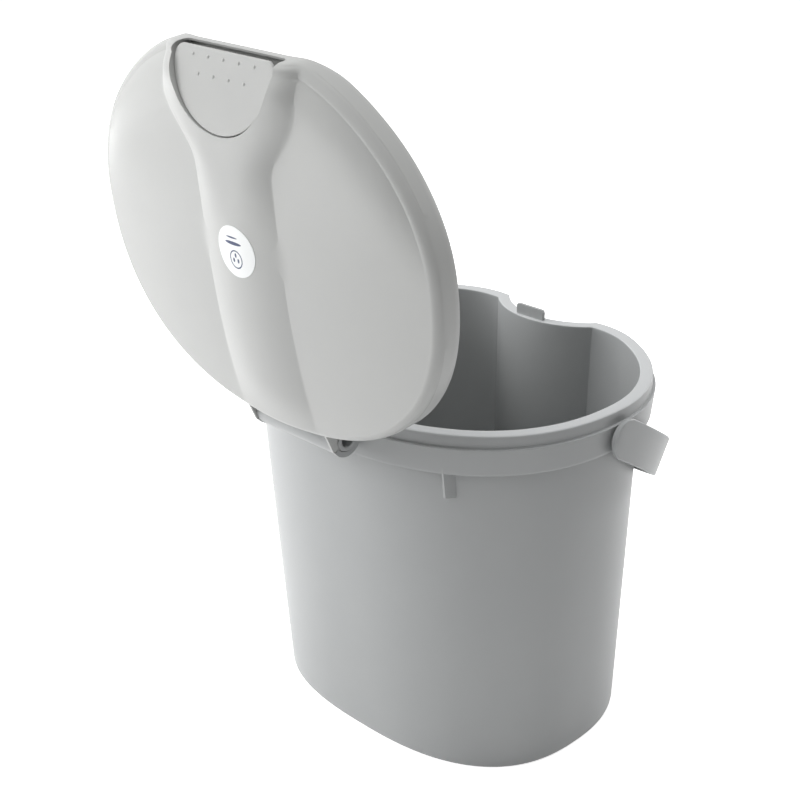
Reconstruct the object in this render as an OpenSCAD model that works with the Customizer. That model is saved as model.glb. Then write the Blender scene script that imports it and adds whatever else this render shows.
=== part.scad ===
/* [Pail] */
// Height of the pail's rim above the floor
rim_z = 270; // [255:1:285]
// Half width of the rim, left to right
rim_half_width = 153; // [148:1:160]
// Depth of the rim behind the centre
rim_back = 127.6; // [124:0.1:133]
// Depth of the rim ahead of the centre, before the dent
rim_front = 125; // [122:0.1:130]
// Half width of the base
base_half_width = 129; // [120:1:134]
// Depth of the base behind the centre
base_back = 96; // [90:1:102]
// Depth of the base ahead of the centre
base_front = 108.4; // [103:0.1:112]
// Thickness of the pail's wall
wall = 2; // [1.6:0.1:2.4]
// Thickness of the pail's floor
floor_t = 2.5; // [2:0.1:4]
// How far the rim stands out from the wall
rim_out = 7; // [6:0.1:8]
// Height of the band that the lid's skirt slips over
band_h = 8.7; // [7:0.1:10]
// Depth of the rolled skirt below the rim
skirt_drop = 28; // [26:0.5:31]
// Width of the ledge under the band
ledge = 2.2; // [2:0.1:2.4]
// Radius of the front dent, on the wall's inner face
dent_r = 66.4; // [62:0.1:70]
// Distance from the centre to the middle of the dent's circle
dent_centre = 150.7; // [148:0.1:153]
// Angle at the dent's circle from the cross line to the crease
dent_angle = 45.3; // [42:0.1:48]
// Half width at which the front starts to lean toward the crease
flank_x = 82; // [76:1:90]
// Half width of the catch tab on the rim
catch_half_width = 12.9; // [10:0.1:14]
// Height of the catch tab above the rim
catch_h = 8.3; // [8:0.1:8.8]
// Distance of the two back ribs from the middle
rib_x = 95; // [80:1:100]
// Radius of the bottom edge
foot_r = 3; // [2:0.5:5]

/* [Lid] */
// Angle from shut to fully open
open_angle = 96.4; // [90:0.1:100]
// Thickness of the lid's shell
lid_t = 1.6; // [1.4:0.1:1.8]
// Height of the lid's crown above the rim
crown_h = 20; // [18:0.5:24]
// Radius of the lid's shoulder
shoulder_r = 6; // [5:0.5:7]
// Height of the lid's skirt
lid_skirt_h = 12.1; // [11:0.1:14]
// Distance of the lid's flat front edge from the centre
lid_front = 120.5; // [119:0.1:122]
// Height of the raised band at its middle above the crown
ridge_h = 5.5; // [4.5:0.1:6]
// Height of the raised band beside the press panel above the plain dome
ridge_front_h = 7.6; // [6.5:0.1:8]
// Half width of the raised band behind the flare
ridge_half_width = 35.7; // [32:0.1:39]
// Half width of the raised band beside the press panel
flare_half_width = 60; // [57:1:64]
// Radius of the round sticker
sticker_r = 17; // [12:0.5:20]

/* [Hinge] */
// Distance of the hinge axis behind the rim
hinge_out = 9.4; // [9.2:0.1:10]
// Depth of the hinge axis below the rim
hinge_drop = 11.5; // [11:0.1:12]
// Radius of the hinge barrel
barrel_r = 11.8; // [11.4:0.1:12]
// Half length of the hinge barrel
barrel_half_length = 36.9; // [34:0.1:40]
// Thickness of the hinge cheeks
cheek_t = 1.8; // [1.6:0.1:2.2]
// Radius of the round end of a cheek
cheek_r = 8.2; // [8:0.05:8.25]
// Radius of the hinge pins
pin_r = 6.3; // [5.8:0.1:6.5]
// Radius of the hollow in a hinge pin
pin_bore_r = 5.05; // [4.4:0.05:5.2]
// Depth of a hinge pin in the barrel
pin_depth = 10; // [8:0.5:14]

/* [Press panel] */
// Radius of the rounded opening for the press panel
hole_r = 46.4; // [44:0.1:47]
// Distance of the opening's circle ahead of the centre
hole_y = 118.8; // [118:0.1:119.5]
// Gap round the press panel
panel_gap = 0.6; // [0.5:0.1:1]
// Travel of the press panel, in degrees
panel_travel = 6; // [5:0.5:7]
// Thickness of the press panel
panel_t = 1.8; // [1.6:0.1:2.2]
// Radius of the grip dots
dot_r = 1.3; // [1:0.1:1.6]
// Spacing of the grip dots
dot_step = 14; // [12:0.5:15]
// Radius of the panel's axle
axle_r = 1.75; // [1.5:0.05:2]

/* [Handle] */
// Gap between the rim's ledge and the inside of the handle
handle_gap = 1.6; // [1.2:0.1:2.8]
// How far the resting handle lies ahead of the wall's top
handle_lead = 1.1; // [1:0.1:6]
// Thickness of the handle's strap
strap_t = 3.4; // [2.8:0.1:4]
// Width of the handle's strap
strap_w = 28.5; // [24:0.5:29]
// Depth of the handle's pivots below the rim
pivot_drop = 20; // [19.5:0.5:20.5]
// Distance of the pivots ahead of the centre
pivot_front = 2; // [0:0.5:5]
// Angle of the resting handle below level
rest_angle = 32.5; // [31:0.5:40]
// Radius of the pivot pegs
peg_r = 5; // [4:0.1:5.5]

/* [Hidden] */

// Curve fineness
round_fn = 64;
side_steps = 68;
dent_steps = 16;

// Clearances
run_fit = 0.08;
seat = 0.3;
slip = 0.4;

// How far one form runs into the next that it is moulded with, and a cutter past its face
bite = 1;

// The wall's outer face at the rim
wall_top_half_width = rim_half_width - rim_out;
wall_top_back = rim_back - rim_out;
wall_top_front = rim_front - rim_out;

// Squareness of the outlines: two is an ellipse
n_rim_front = 2.04;
n_rim_back = 2.29;
n_base_front = 2.2;
n_base_back = 2.58;

// Levels of the rim
ledge_z = rim_z - band_h;
skirt_z = rim_z - skirt_drop;
under_rim_z = rim_z - 2.2;
chamfer = 0.8;
skirt_t = 1.8;

// The hinge axis
hinge_y = rim_back + hinge_out;
hinge_z = rim_z - hinge_drop;

// The carry handle's pivot axis
pivot_y = -pivot_front;
pivot_z = rim_z - pivot_drop;
handle_half_width = rim_half_width + ledge + handle_gap;
handle_reach = (wall_top_front - pivot_front + handle_lead) / cos(rest_angle);
peg_bore = handle_half_width - rim_half_width + 5.4;

function lerp(a, b, t) = a + (b - a) * t;
function spow(v, p) = sign(v) * pow(abs(v), p);

// One outline of the pail at height z: w picks the wall's taper, o is the offset outward
// from the wall's outer face. It runs from the right crease round the back to the left
// crease, then along the dent.
function taper(top, base, w) = lerp(base, top, w / rim_z);
function pail_ring(z, o, w) =
    let (
        a = taper(wall_top_half_width, base_half_width, w) + o,
        b = taper(wall_top_back, base_back, w) + o,
        f = taper(wall_top_front, base_front, w) + o,
        nf = taper(n_rim_front, n_base_front, w),
        nb = taper(n_rim_back, n_base_back, w),
        k = taper(wall_top_front, base_front, w) / wall_top_front,
        from_inner = o + wall,
        r = (dent_r - from_inner) * k,
        beta = dent_angle - from_inner / 2,
        cx = r * cos(beta),
        cy = -dent_centre * k + r * sin(beta),
        tc = acos(pow(cx / a, nf / 2)),
        crease_drop = f * pow(1 - pow(cx / a, nf), 1 / nf) + cy,
        fx = flank_x * k
    )
    concat(
        [for (i = [0 : side_steps])
            let (
                t = -tc + (180 + 2 * tc) * i / side_steps,
                in_front = t < 0 || t > 180,
                n = in_front ? nf : nb,
                x = a * spow(cos(t), 2 / n),
                lean = in_front && abs(x) < fx ? pow((fx - abs(x)) / (fx - cx), 2) : 0,
                y = (in_front ? f : b) * spow(sin(t), 2 / n) + crease_drop * lean
            )
            [x, y, z]],
        [for (j = [1 : dent_steps - 1])
            let (t = 180 - beta - (180 - 2 * beta) * j / dent_steps)
            [r * cos(t), -dent_centre * k + r * sin(t), z]]
    );

// A closed solid through rings of equal point counts, with a flat cap at each end
module ring_solid(rings) {
    m = len(rings[0]);
    last = (len(rings) - 1) * m;
    points = [for (ring = rings) each ring];
    sides = [for (k = [0 : len(rings) - 2]) for (i = [0 : m - 1])
        let (j = (i + 1) % m, p = k * m, q = p + m)
        each [[p + i, q + i, q + j], [p + i, q + j, p + j]]];
    first_cap = [for (i = [0 : m - 1]) i];
    last_cap = [for (i = [m - 1 : -1 : 0]) last + i];
    polyhedron(points, concat([first_cap], sides, [last_cap]), convexity = 10);
}

// The same, where each end closes to a point
module pointed_solid(first_point, rings, last_point) {
    m = len(rings[0]);
    last = (len(rings) - 1) * m;
    points = concat([for (ring = rings) each ring], [first_point, last_point]);
    sides = [for (k = [0 : len(rings) - 2]) for (i = [0 : m - 1])
        let (j = (i + 1) % m, p = k * m, q = p + m)
        each [[p + i, q + i, q + j], [p + i, q + j, p + j]]];
    ends = [for (i = [0 : m - 1]) let (j = (i + 1) % m)
        each [[last + m, i, j], [last + i, last + m + 1, last + j]]];
    polyhedron(points, concat(sides, ends), convexity = 10);
}

// A plate in the y and z plane, drawn with y to the right and z up
module side_plate(x, t, points) {
    translate([x, 0, 0]) rotate([90, 0, 90]) linear_extrude(t) polygon(points);
}

module x_rod(x, length, y, z, r) {
    translate([x, y, z]) rotate([0, 90, 0]) cylinder(h = length, r = r, $fn = round_fn);
}

// Pail
function foot_ring(angle) = pail_ring(foot_r * (1 - sin(angle)), -foot_r * (1 - cos(angle)),
                                      foot_r * (1 - sin(angle)));

// The base stands on a foot round its edge and on a round pad in the middle
pad_r = 60;
recess = 0.8;
foot_w = 5;
floor_crown = 0.6;
function pad_ring(r, z) =
    [for (p = pail_ring(0, -foot_r - foot_w, 0)) concat([p[0], p[1]] * r / norm([p[0], p[1]]), z)];

module pail_body() {
    pointed_solid([0, 0, 0], [
        pad_ring(pad_r, 0),
        pad_ring(pad_r + 1, recess),
        pail_ring(recess, -foot_r - foot_w - 1, 0),
        pail_ring(0, -foot_r - foot_w, 0),
        foot_ring(90),
        foot_ring(60),
        foot_ring(30),
        foot_ring(0),
        pail_ring(under_rim_z / 2, 0, under_rim_z / 2),
        pail_ring(under_rim_z, 0, under_rim_z),
        pail_ring(under_rim_z, rim_out - skirt_t, rim_z),
        pail_ring(ledge_z + skirt_t, rim_out - skirt_t, rim_z),
        pail_ring(ledge_z - skirt_t, rim_out + ledge - skirt_t, rim_z),
        pail_ring(skirt_z, rim_out - skirt_t, rim_z),
        pail_ring(skirt_z, rim_out, rim_z),
        pail_ring(ledge_z, rim_out + ledge, rim_z),
        pail_ring(ledge_z, rim_out, rim_z),
        pail_ring(rim_z - chamfer, rim_out, rim_z),
        pail_ring(rim_z, rim_out - chamfer, rim_z),
        pail_ring(rim_z, chamfer - wall, rim_z),
        pail_ring(rim_z - chamfer, -wall, rim_z),
        pail_ring(rim_z / 2, -wall, rim_z / 2),
        pail_ring(floor_t + foot_r, -wall, floor_t + foot_r),
        pail_ring(floor_t, -wall - foot_r, floor_t)
    ], [0, 0, floor_t + floor_crown]);
}
catch_back = dent_centre - dent_r + 2.6;
catch_t = 2.3;
bead_r = 0.9;
bead_z = rim_z + 5.2;
rib_t = 1.8;
rib_out = 10;
rib_nose = 7.6;
rib_foot_z = skirt_z - 21;
rib_nose_z = skirt_z - 18;
rib_top_z = skirt_z + 4;
rib_wall = wall_top_back * pow(1 - pow(rib_x / wall_top_half_width, n_rim_back), 1 / n_rim_back)
    - 1.5;

// A curved stop outside each barrel end, which the lid's cheek meets when it is fully open
stop_in = cheek_r + slip;
stop_out = barrel_r + 0.5;
stop_gap = 0.4;
cheek_lead = 63.1;
stop_end = cheek_lead - open_angle - stop_gap;

module stop_outline() {
    wedge = 3 * stop_out;
    difference() {
        circle(r = stop_out, $fn = round_fn);
        circle(r = stop_in, $fn = round_fn);
        polygon([[0, 0], wedge * [cos(stop_end), sin(stop_end)], [wedge, wedge], [-wedge, wedge],
                 [-wedge, 0]]);
    }
}

module pail() {
    color("darkgray") difference() {
        union() {
            pail_body();
            // Hinge barrel and its stops
            x_rod(-barrel_half_length, 2 * barrel_half_length, hinge_y, hinge_z, barrel_r);
            for (side = [-1, 1])
                translate([side * (barrel_half_length - bite), hinge_y, hinge_z])
                    mirror([side < 0 ? 1 : 0, 0, 0])
                        rotate([90, 0, 90])
                            linear_extrude(cheek_t + slip + bite) stop_outline();
            // Catch tab with its bead
            translate([-catch_half_width, -catch_back - catch_t, rim_z - bite])
                cube([2 * catch_half_width, catch_t, catch_h + bite]);
            x_rod(-catch_half_width, 2 * catch_half_width, -catch_back - catch_t, bead_z, bead_r);
            // Two ribs on the back of the wall, under the skirt
            for (side = [-1, 1])
                side_plate(side * rib_x - rib_t / 2, rib_t,
                           [[rib_wall - wall, rib_foot_z], [rib_wall + rib_nose, rib_nose_z],
                            [rib_wall + rib_out, rib_top_z], [rib_wall - wall, rib_top_z]]);
        }
        // Bores for the hinge pins
        for (side = [0, 1])
            mirror([side, 0, 0])
                x_rod(barrel_half_length - pin_depth, pin_depth + bite, hinge_y, hinge_z, pin_r);
        // Bores for the handle's pegs
        for (side = [0, 1])
            mirror([side, 0, 0])
                x_rod(handle_half_width - peg_bore, peg_bore + bite, pivot_y, pivot_z, peg_r + run_fit);
    }
}

// Hinge pins
cheek_in = barrel_half_length + seat;
cheek_out = cheek_in + cheek_t;
pin_flange_r = 7.85;
pin_flange_t = 1;
pin_end_t = 1.5;

module hinge_pin() {
    color("gray") difference() {
        union() {
            x_rod(barrel_half_length - pin_depth, cheek_out + seat - barrel_half_length + pin_depth,
                  hinge_y, hinge_z, pin_r);
            x_rod(cheek_out + seat, pin_flange_t, hinge_y, hinge_z, pin_flange_r);
        }
        x_rod(barrel_half_length - pin_depth + pin_end_t, 2 * pin_depth, hinge_y, hinge_z, pin_bore_r);
    }
}
module hinge_pin_right() { hinge_pin(); }
module hinge_pin_left() { mirror([1, 0, 0]) hinge_pin(); }

// Lid, drawn shut and then swung open about the hinge axis
lid_out = rim_out + slip + lid_t;
shoulder_z = ledge_z + seat + lid_skirt_h;
dome_edge_z = shoulder_z + shoulder_r;
crown_z = rim_z + crown_h;
dome_drop = crown_z - dome_edge_z;
dome_out = lid_out - shoulder_r;
dome_front = lid_front - shoulder_r;

module swing_open() {
    translate([0, hinge_y, hinge_z]) rotate([-open_angle, 0, 0]) translate([0, -hinge_y, -hinge_z])
        children();
}

// The raised band: its half width flares beside the press panel
flare_start = 48;
flare_end = 93;
function smooth(u) = let (c = min(1, max(0, u))) c * c * (3 - 2 * c);
function ridge_w(y) =
    lerp(ridge_half_width, flare_half_width, smooth((-y - flare_start) / (flare_end - flare_start)));

// Where an outline crosses the band's edge: the half width there, found by repeated substitution
function crossing(a, depth, n, w, tries) =
    tries == 0 ? w
    : crossing(a, depth, n, ridge_w(depth * pow(1 - pow(min(0.98, w / a), n), 1 / n)), tries - 1);

// Parameter angles of one quarter of an outline, with one point on the band's edge
quarter_steps = 24;
edge_step = 16;
function quarter_t(j, edge_t) =
    j <= edge_step ? edge_t * j / edge_step
    : lerp(edge_t, 90, (j - edge_step) / (quarter_steps - edge_step));

// Outline of the lid at height z and offset o from the pail's wall, scaled about the middle
function lid_quarter(z, o, s, right, behind) =
    let (
        n = behind ? n_rim_back : n_rim_front,
        a = s * (wall_top_half_width + o),
        depth = s * (behind ? wall_top_back + o : -wall_top_front - o),
        w = crossing(a, abs(depth) * sign(depth), n, ridge_half_width, 5),
        edge_t = max(12, acos(pow(min(0.98, w / a), n / 2))),
        flat = s * (lid_out - o - lid_front),
        upward = right == behind
    )
    [for (k = [0 : quarter_steps - 1])
        let (
            t = quarter_t(upward ? k : quarter_steps - k, edge_t),
            y = max(depth * pow(sin(t), 2 / n), flat)
        )
        [(right ? a : -a) * pow(cos(t), 2 / n), y, z]];
function lid_ring(z, o, s = 1) =
    concat(lid_quarter(z, o, s, true, true), lid_quarter(z, o, s, false, true),
           lid_quarter(z, o, s, false, false), lid_quarter(z, o, s, true, false));

// The dome falls away as a plain power behind, and stays flat for longer in front
function dome_fall(s, y) =
    dome_drop * lerp(pow(s, 2.3), 0.31 * pow(s, 2) + 0.69 * pow(s, 12), smooth(-y / 60));
// Height of the plain dome and shoulder at any place
function lid_z(x, y) =
    let (
        n = y < 0 ? n_rim_front : n_rim_back,
        depth = (y < 0 ? wall_top_front : wall_top_back) + dome_out,
        round_s = pow(pow(abs(x) / (wall_top_half_width + dome_out), n) + pow(abs(y) / depth, n), 1 / n),
        s = max(round_s, -y / dome_front),
        beyond = s > 1 ? max(norm([x, y]) * (1 - 1 / round_s), -y - dome_front) : 0
    )
    s > 1 ? shoulder_z + sqrt(max(0, pow(shoulder_r, 2) - pow(beyond, 2))) : crown_z - dome_fall(s, y);

// Height of the raised band's arch
function ridge_rise(y) =
    lerp(ridge_h, ridge_front_h, smooth((-y - 10) / 60)) * (1 - 0.75 * smooth((y - 90) / 40))
    * (lid_z(0, y) - shoulder_z) / max(shoulder_r, lid_z(0, y) - shoulder_z);
function ridge_z(x, y) =
    let (
        w = ridge_w(y),
        edge = lid_z(w, y),
        power = lerp(2, 5, smooth(-y / 100))
    )
    edge + (lid_z(0, y) + ridge_rise(y) - edge) * (1 - pow(min(1, abs(x) / w), power));

function top_z(x, y) = abs(x) < ridge_w(y) ? max(lid_z(x, y), ridge_z(x, y)) : lid_z(x, y);

// Rings of the shell: the skirt, the shoulder and the dome with its raised band
function on_top(points, below) = [for (p = points) [p[0], p[1], top_z(p[0], p[1]) - below]];
function shoulder_ring(angle, r, o) = lid_ring(0, o - r * (1 - cos(angle)));
shoulder_angles = [18, 40, 63, 80];
dome_steps = [0.2, 0.3, 0.4, 0.5, 0.59, 0.67, 0.74, 0.8, 0.86, 0.92, 0.97, 1];

outer_rings = concat(
    [lid_ring(ledge_z + seat, lid_out), lid_ring(shoulder_z, lid_out)],
    [for (angle = shoulder_angles) on_top(shoulder_ring(angle, shoulder_r, lid_out), 0)],
    [for (i = [len(dome_steps) - 1 : -1 : 0]) on_top(lid_ring(0, dome_out, dome_steps[i]), 0)]
);
inner_rings = concat(
    [for (s = dome_steps) on_top(lid_ring(0, dome_out - lid_t / 2, s), lid_t)],
    [for (angle = [60, 30])
        lid_ring(shoulder_z + (shoulder_r - lid_t) * sin(angle),
                 lid_out - lid_t - (shoulder_r - lid_t) * (1 - cos(angle)))],
    [lid_ring(shoulder_z, lid_out - lid_t), lid_ring(ledge_z + seat, lid_out - lid_t)]
);

// Outline of the press panel's opening, seen from above
module hole_outline(r, front) {
    intersection() {
        translate([0, -hole_y]) circle(r = r, $fn = 2 * round_fn);
        translate([-r, -front]) square([2 * r, front]);
    }
}
hole_front = lid_front - lid_t - 0.6;

// The wall that drops from the opening's edge to just above the rim
well_t = 1.6;
well_lap = 0.3;
floor_gap = 0.6;
well_z = rim_z + 0.5;
module well_wall() {
    intersection() {
        translate([0, 0, -lid_t / 2]) pointed_solid([0, 0, ledge_z], outer_rings, [0, 0, top_z(0, 0)]);
        translate([0, 0, well_z]) linear_extrude(2 * crown_h) difference() {
            hole_outline(hole_r + well_t, lid_front - lid_t / 2);
            hole_outline(hole_r - well_lap, lid_front);
        }
    }
}

// The box below the well's floor that holds the panel's axle
axle_y = -76;
axle_z = rim_z - 8;
axle_box_half_length = 29;
axle_box_front = 5.3;
axle_box_back = 6.5;
axle_box_z = axle_z - 6;
axle_half_length = axle_box_half_length + lid_t - 0.2;

module axle_box(grow, bottom, top) {
    translate([-axle_box_half_length - grow, axle_y - axle_box_front - grow, bottom])
        cube([2 * (axle_box_half_length + grow), axle_box_front + axle_box_back + 2 * grow,
              top - bottom]);
}

module well_floor() {
    translate([0, 0, well_z]) linear_extrude(lid_t) difference() {
        translate([0, -hole_y]) circle(r = hole_r + well_t / 2, $fn = round_fn);
        translate([0, -dent_centre]) circle(r = dent_r - floor_gap, $fn = round_fn);
    }
}

// A shelf inside the front edge that closes the lid below the press panel
shelf_gap = 0.8;
shelf_half = hole_r + 4;
shelf_back = 114.5;
module front_shelf() {
    strip = lid_front - lid_t / 2;
    translate([0, 0, ledge_z + seat]) linear_extrude(lid_t) intersection() {
        union() {
            translate([0, -dent_centre]) circle(r = dent_r - wall - rim_out - shelf_gap, $fn = round_fn);
            translate([-shelf_half, -strip]) square([2 * shelf_half, strip - shelf_back]);
        }
        translate([-shelf_half, -strip]) square([2 * shelf_half, strip]);
    }
}

// The hinge cheeks, as seen from the side: a web from the lid's back wall to a round eye
barrel_room_r = barrel_r + 0.8;
cheek_corner_r = 12.9;
cheek_corner = cheek_lead + 2.7;
cheek_root_y = hinge_y - 18.5;
cheek_web_y = hinge_y - 10.8;
cheek_root_z = rim_z + 0.8;
cheek_top_z = rim_z + 8;
cheek_hem_z = ledge_z + 0.5;
function about_hinge(r, angle) = [hinge_y + r * cos(angle), hinge_z + r * sin(angle)];
module cheek_outline() {
    difference() {
        union() {
            polygon([[cheek_root_y, cheek_root_z], [cheek_root_y, cheek_top_z],
                     about_hinge(cheek_corner_r, cheek_corner), about_hinge(cheek_r, cheek_lead),
                     [hinge_y, hinge_z], [hinge_y - cheek_r + bite, cheek_hem_z],
                     [cheek_web_y, cheek_hem_z], [cheek_web_y, cheek_root_z]]);
            translate([hinge_y, hinge_z]) circle(r = cheek_r, $fn = round_fn);
        }
        translate([hinge_y, hinge_z]) circle(r = pin_r + run_fit, $fn = round_fn);
    }
}

module lid_shell() {
    color("silver") swing_open() difference() {
        union() {
            difference() {
                pointed_solid([0, 0, top_z(0, 0) - lid_t], concat(inner_rings, outer_rings),
                              [0, 0, top_z(0, 0)]);
                // Room for the hinge barrel
                x_rod(-cheek_in, 2 * cheek_in, hinge_y, hinge_z, barrel_room_r);
            }
            well_wall();
            well_floor();
            front_shelf();
            axle_box(lid_t, axle_box_z - lid_t, well_z + lid_t);
            for (side = [0, 1])
                mirror([side, 0, 0])
                    translate([cheek_in, 0, 0])
                        rotate([90, 0, 90]) linear_extrude(cheek_t) cheek_outline();
        }
        // Opening for the press panel, down to the lid's front lip
        translate([0, 0, well_z + lid_t]) linear_extrude(2 * crown_h) hole_outline(hole_r, hole_front);
        translate([0, 0, lip_z]) linear_extrude(2 * crown_h)
            translate([-hole_r, -lid_front - bite]) square([2 * hole_r, lid_front + 2 * bite - hole_front]);
        axle_box(0, axle_box_z, well_z + lid_t + bite);
        x_rod(-axle_half_length, 2 * axle_half_length, axle_y, axle_z, axle_r);
    }
}

// Sticker on the crown of the raised band
sticker_t = 0.25;
sticker_y = 1.3;
sticker_steps = 48;
function sticker_ring(r, up) =
    [for (i = [0 : sticker_steps - 1])
        let (
            t = 360 * i / sticker_steps,
            x = r * cos(t),
            y = r * sin(t) + sticker_y
        )
        [x, y, top_z(x, y) + up]];

module lid_sticker() {
    radii = [sticker_r / 3, sticker_r * 2 / 3, sticker_r];
    crown = [0, sticker_y, top_z(0, sticker_y)];
    color("white") swing_open() pointed_solid(crown, concat(
        [for (r = radii) sticker_ring(r, 0)],
        [for (i = [len(radii) - 1 : -1 : 0]) sticker_ring(radii[i], sticker_t)]
    ), crown + [0, 0, sticker_t]);
}

// Press panel, whose top falls from the round end to a rounded nose in front
panel_r = hole_r - panel_gap;
panel_back = panel_r - hole_y;
panel_nose = 4;
panel_nose_h = 6;
panel_length = 41;
panel_back_z = rim_z + crown_h + ridge_h + 0.2;
panel_front_y = panel_back - panel_length;
panel_front_z = panel_back_z - panel_fall(panel_length) - panel_nose_h;
panel_step = 4;
function panel_fall(u) = 0.147 * u + 0.00277 * u * u;
function panel_top(y) = panel_back_z - panel_fall(panel_back - y);

function panel_profile(t) = concat(
    [for (u = [-2 * bite : panel_step : panel_length - bite])
        [panel_back - u, panel_back_z - panel_fall(u) - t]],
    [for (angle = [90 : 15 : 180])
        [panel_front_y + (panel_nose - t) * cos(angle), panel_front_z + (panel_nose_h - t) * sin(angle)]]
);

// Lower edge of the panel's side walls, and the front wall set back below the nose
panel_face = panel_front_y - panel_nose;
panel_wall_y = panel_face + 2.2;
panel_wall_z = panel_front_z - 4.8;

// The lid's front lip, which stays below the nose when the panel is pressed
lip_gap = 2.1;
lip_z = axle_z + (panel_front_z - axle_z) * cos(panel_travel)
    - (axle_y - panel_face) * sin(panel_travel) - lip_gap;

front_hem_z = rim_z - 2;
side_hem_z = rim_z + 5.2;
back_hem_z = rim_z + 12;
panel_hem = [[panel_wall_y, panel_wall_z], [panel_wall_y, front_hem_z],
             [panel_wall_y + panel_t, front_hem_z], [panel_wall_y + panel_t, side_hem_z],
             [panel_back + 2 * bite, back_hem_z]];

leg_x = 8;
leg_t = 3;
leg_r = 4;
leg_back = 1.6;
hook_half_width = 12;
hook_t = 1.8;
hook_y = catch_back + catch_t + 2.2 + hook_t;
hook_z = rim_z + 2.4;
nose_z = hook_z + 1.5;
nose_out = 1.9;
nose_rise = 1.6;
dot_ahead = 1.6;
dot_sunk = 0.55;
dot_row_front = panel_front_y - dot_ahead;
dot_row_back = panel_front_y + 8.6;

module grip_dot(x, y, z) {
    translate([x, y, z - dot_r * dot_sunk]) sphere(r = dot_r, $fn = round_fn / 4);
}

module press_panel() {
    color("silver") swing_open() difference() {
        union() {
            // Cap with its side walls
            difference() {
                intersection() {
                    side_plate(-hole_r, 2 * hole_r, concat(panel_profile(0), panel_hem));
                    translate([0, -hole_y, front_hem_z - bite])
                        cylinder(h = 2 * crown_h, r = panel_r, $fn = 2 * round_fn);
                }
                intersection() {
                    side_plate(-hole_r, 2 * hole_r,
                               concat(panel_profile(panel_t),
                                      [[panel_wall_y + panel_t, panel_wall_z],
                                       [panel_wall_y + panel_t, front_hem_z - bite],
                                       [panel_back + 2 * bite, front_hem_z - bite]]));
                    translate([0, -hole_y, front_hem_z - 2 * bite])
                        cylinder(h = 2 * crown_h, r = panel_r - panel_t, $fn = 2 * round_fn);
                }
            }
            // Legs that turn on the axle
            for (x = [-leg_x - leg_t, leg_x]) {
                side_plate(x, leg_t, [[axle_y - leg_r, axle_z], [axle_y + leg_back, axle_z],
                                      [axle_y + leg_back, panel_top(axle_y + leg_back) - panel_t / 2],
                                      [axle_y - leg_r, panel_top(axle_y - leg_r) - panel_t / 2]]);
                x_rod(x, leg_t, axle_y, axle_z, leg_r);
            }
            // Hook that catches under the pail's bead
            side_plate(-hook_half_width, 2 * hook_half_width,
                       [[-hook_y, hook_z], [-hook_y + nose_out + hook_t, hook_z],
                        [-hook_y + nose_out + hook_t, nose_z], [-hook_y + hook_t, nose_z + nose_rise],
                        [-hook_y + hook_t, panel_top(-hook_y) - panel_t / 2],
                        [-hook_y, panel_top(-hook_y) - panel_t / 2]]);
            // Two rows of grip dots
            for (i = [-2 : 2])
                grip_dot(i * dot_step, dot_row_front,
                         panel_front_z + panel_nose_h * cos(asin(dot_ahead / panel_nose)));
            for (i = [-1.5 : 1.5])
                grip_dot(i * dot_step, dot_row_back, panel_top(dot_row_back));
        }
        x_rod(-leg_x - leg_t - bite, 2 * (leg_x + leg_t + bite), axle_y, axle_z, axle_r + run_fit);
    }
}

module panel_axle() {
    color("gray") swing_open()
        x_rod(-axle_half_length, 2 * axle_half_length, axle_y, axle_z, axle_r);
}

// Torsion spring: a coil round the axle with an arm to the box and an arm to the panel
wire_r = 0.4;
coil_r = 2.9;
coil_pitch = 1.3;
coil_from = 270;
coil_sweep = 1884;
coil_step = 31.4;
foot_arm = 6.1;
panel_arm = panel_top(axle_y - 2 * coil_r) - panel_t - axle_z - seat;

function wire_ring(x, y, z, angle) =
    [for (k = [0 : 5])
        let (c = wire_r * cos(60 * k), e = wire_r * sin(60 * k))
        [x + c, y + e * cos(angle), z + e * sin(angle)]];
function coil_ring(turned, along) =
    let (angle = coil_from - turned)
    wire_ring(coil_pitch * (turned - coil_sweep / 2) / 360,
              axle_y + coil_r * cos(angle) + along * sin(angle),
              axle_z + coil_r * sin(angle) - along * cos(angle), angle);

module panel_spring() {
    color("lightgray") swing_open() ring_solid(concat(
        [coil_ring(0, -foot_arm)],
        [for (turned = [0 : coil_step : coil_sweep + bite]) coil_ring(turned, 0)],
        [coil_ring(coil_sweep, panel_arm)]
    ));
}

// Carry handle, drawn level with its pivots at the origin and then lowered
n_handle = 2.3;
handle_steps = 48;
hub_r = 7;
hub_t = handle_half_width - rim_half_width - ledge - seat;
peg_head_r = 6.2;
peg_head_t = 1.5;
peg_inside = handle_half_width - rim_half_width + 3.5;
function handle_arc(grow) =
    [for (i = [0 : handle_steps])
        let (t = 180 + 180 * i / handle_steps)
        [(handle_half_width + grow) * spow(cos(t), 2 / n_handle),
         (handle_reach + grow) * spow(sin(t), 2 / n_handle)]];
function reversed(list) = [for (i = [len(list) - 1 : -1 : 0]) list[i]];

module carry_handle() {
    color("darkgray") translate([0, pivot_y, pivot_z]) rotate([rest_angle, 0, 0]) {
        translate([0, 0, -strap_w / 2]) linear_extrude(strap_w)
            polygon(concat(handle_arc(strap_t), reversed(handle_arc(0))));
        for (side = [0, 1])
            mirror([side, 0, 0]) {
                translate([handle_half_width, 0, 0]) rotate([90, 0, 90]) linear_extrude(strap_t)
                    intersection() {
                        circle(r = strap_w / 2, $fn = round_fn);
                        translate([0, -strap_w / 2]) square([strap_w, strap_w]);
                    }
                x_rod(handle_half_width - hub_t, hub_t + strap_t / 2, 0, 0, hub_r);
                x_rod(handle_half_width - peg_inside, peg_inside + strap_t / 2, 0, 0, peg_r);
                x_rod(handle_half_width - peg_inside, peg_head_t, 0, 0, peg_head_r);
            }
    }
}

pail();
hinge_pin_left();
hinge_pin_right();
lid_shell();
lid_sticker();
panel_axle();
panel_spring();
press_panel();
carry_handle();
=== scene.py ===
"""Grey nappy bin with its lid open, seen from behind and to one side."""
import math

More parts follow.
